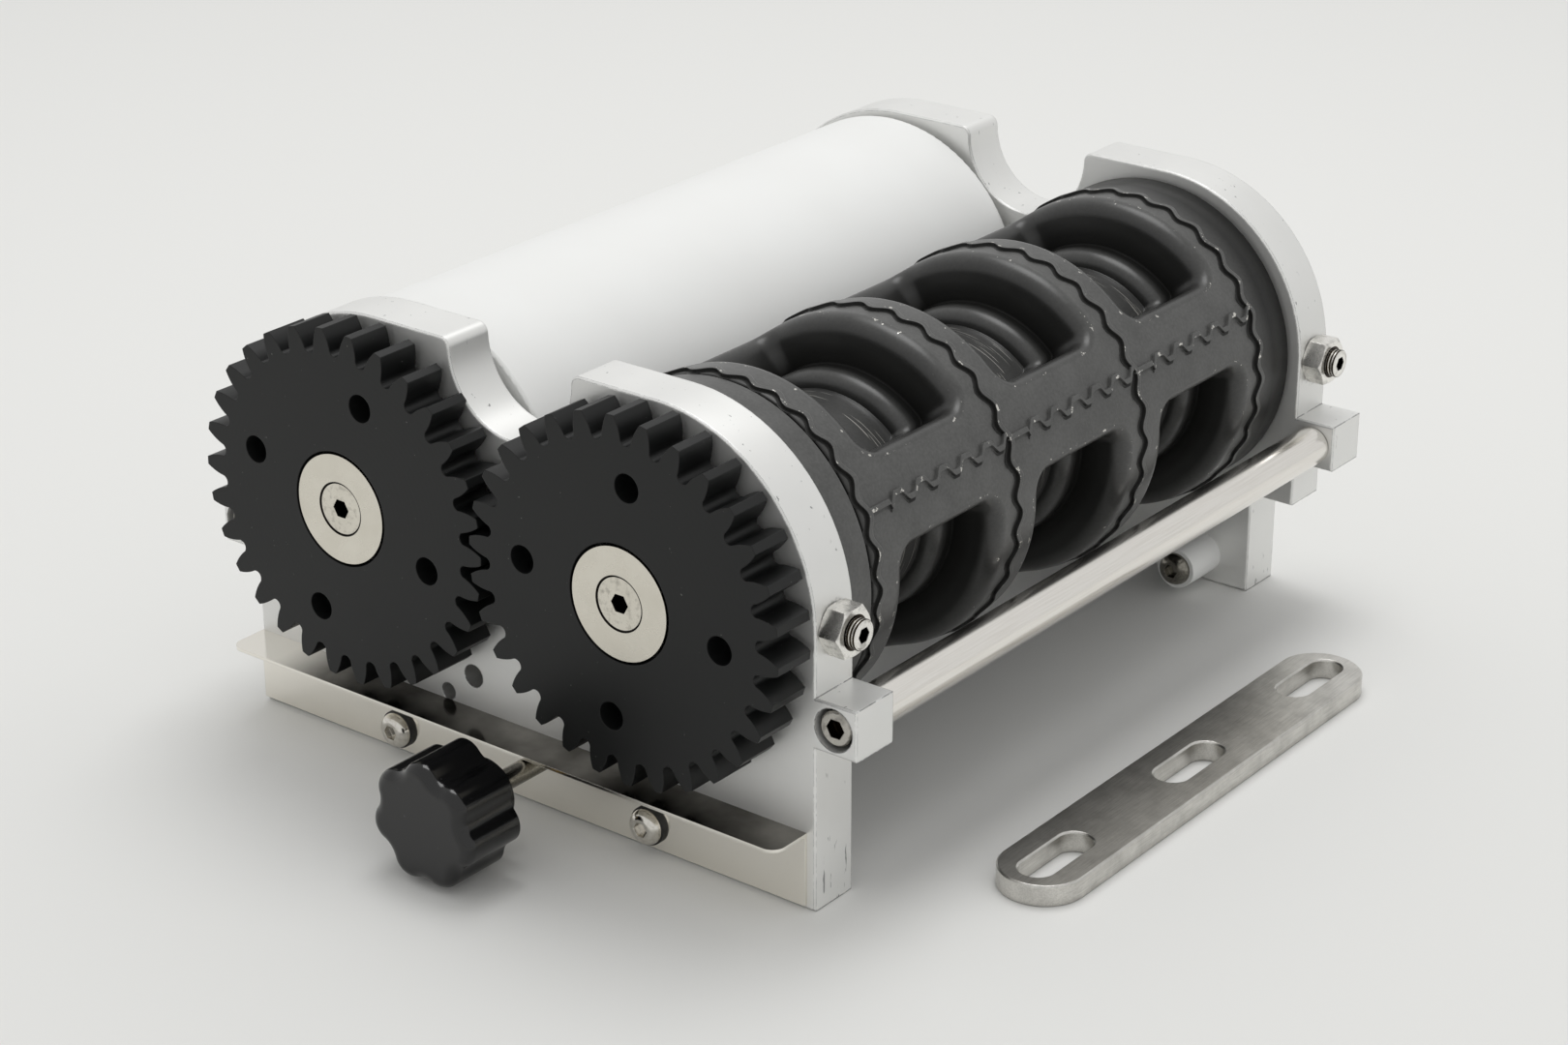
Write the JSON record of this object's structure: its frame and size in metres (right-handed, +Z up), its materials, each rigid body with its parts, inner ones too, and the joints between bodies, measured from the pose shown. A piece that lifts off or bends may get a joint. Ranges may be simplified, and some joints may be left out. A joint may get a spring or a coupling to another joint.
{
  "type": "ravioli forming roller unit",
  "caption": "Roller unit for filled pasta: a smooth roller and a pocketed forming roller between end plates, geared together, with a loose slotted fixing strap.",
  "frame": {"origin": "middle of the underside of the front end plate's foot, midway between the two roller axes", "axes": "+X from the smooth roller to the forming roller, +Y along the rollers away from the gears, +Z up"},
  "size_m": [0.2667, 0.31, 0.1315],
  "materials": {
    "anodised_aluminium": "satin anodised",
    "satin_steel": "satin",
    "screw_steel": "plain",
    "bronze": "turned",
    "sheet_steel": "bright sheet",
    "polished_steel": "polished",
    "black_spacer": "matt",
    "dark_steel": "blackened",
    "white_plastic": "smooth turned",
    "shaft_steel": "ground",
    "black_acetal": "machined",
    "washer_steel": "fine turned",
    "coated_aluminium": "dark grey non-stick coating",
    "black_knob": "glossy",
    "brass": "plain",
    "strap_steel": "brushed"
  },
  "bodies": {
    "frame": {"front_end_plate": "anodised_aluminium", "rear_end_plate": "anodised_aluminium", "left_tie_rod": "satin_steel", "right_tie_rod": "satin_steel", "tie_rod_screws": "screw_steel", "anvil_front_bush": "bronze", "anvil_rear_bush": "bronze", "die_front_bush": "bronze", "die_rear_bush": "bronze", "adjuster_screws": "screw_steel", "adjuster_nuts": "screw_steel", "gear_guard": "sheet_steel", "guard_screws": "polished_steel", "guard_spacers": "black_spacer", "guide_pegs": "satin_steel", "guide_peg_screws": "dark_steel"},
    "anvil": {"anvil_roller": "white_plastic", "anvil_shaft": "shaft_steel", "anvil_roller_key": "shaft_steel", "anvil_gear": "black_acetal", "anvil_gear_key": "shaft_steel", "anvil_gear_washer": "washer_steel", "anvil_gear_screw": "screw_steel"},
    "die": {"die_roller": "coated_aluminium", "die_end_ring": "coated_aluminium", "die_shaft": "shaft_steel", "die_roller_key": "shaft_steel", "die_gear": "black_acetal", "die_gear_key": "shaft_steel", "die_gear_washer": "washer_steel", "die_gear_screw": "screw_steel"},
    "clamp_screw": {"clamp_stud": "screw_steel"},
    "knob": {"clamp_knob": "black_knob", "knob_insert": "brass"},
    "strap": {"fixing_strap": "strap_steel"}
  },
  "joints": [
    {"name": "die_spin", "type": "hinge", "parent": "frame", "child": "die", "pos_m": [0.05, 0.12, 0.0795], "axis": [0, 1, 0], "continuous": true},
    {"name": "anvil_spin", "type": "hinge", "parent": "frame", "child": "anvil", "pos_m": [-0.05, 0.12, 0.0795], "axis": [0, 1, 0], "continuous": true},
    {"name": "stud_feed", "type": "slide", "parent": "frame", "child": "clamp_screw", "axis": [0, 1, 0], "range_m": [-0.005, 0.003]},
    {"name": "knob_turn", "type": "hinge", "parent": "clamp_screw", "child": "knob", "pos_m": [0.012, -0.05, 0.0182], "axis": [0, 1, 0], "range_deg": [-1850, 1130]},
    {"name": "strap_lift", "type": "slide", "parent": "frame", "child": "strap", "axis": [0, 0, 1], "range_m": [0, 0.12]}
  ],
  "couplings": [
    {"joint": "anvil_spin", "follows": "die_spin", "ratio": -1},
    {"joint": "knob_turn", "follows": "stud_feed", "rad_per_m": 6283.2}
  ]
}
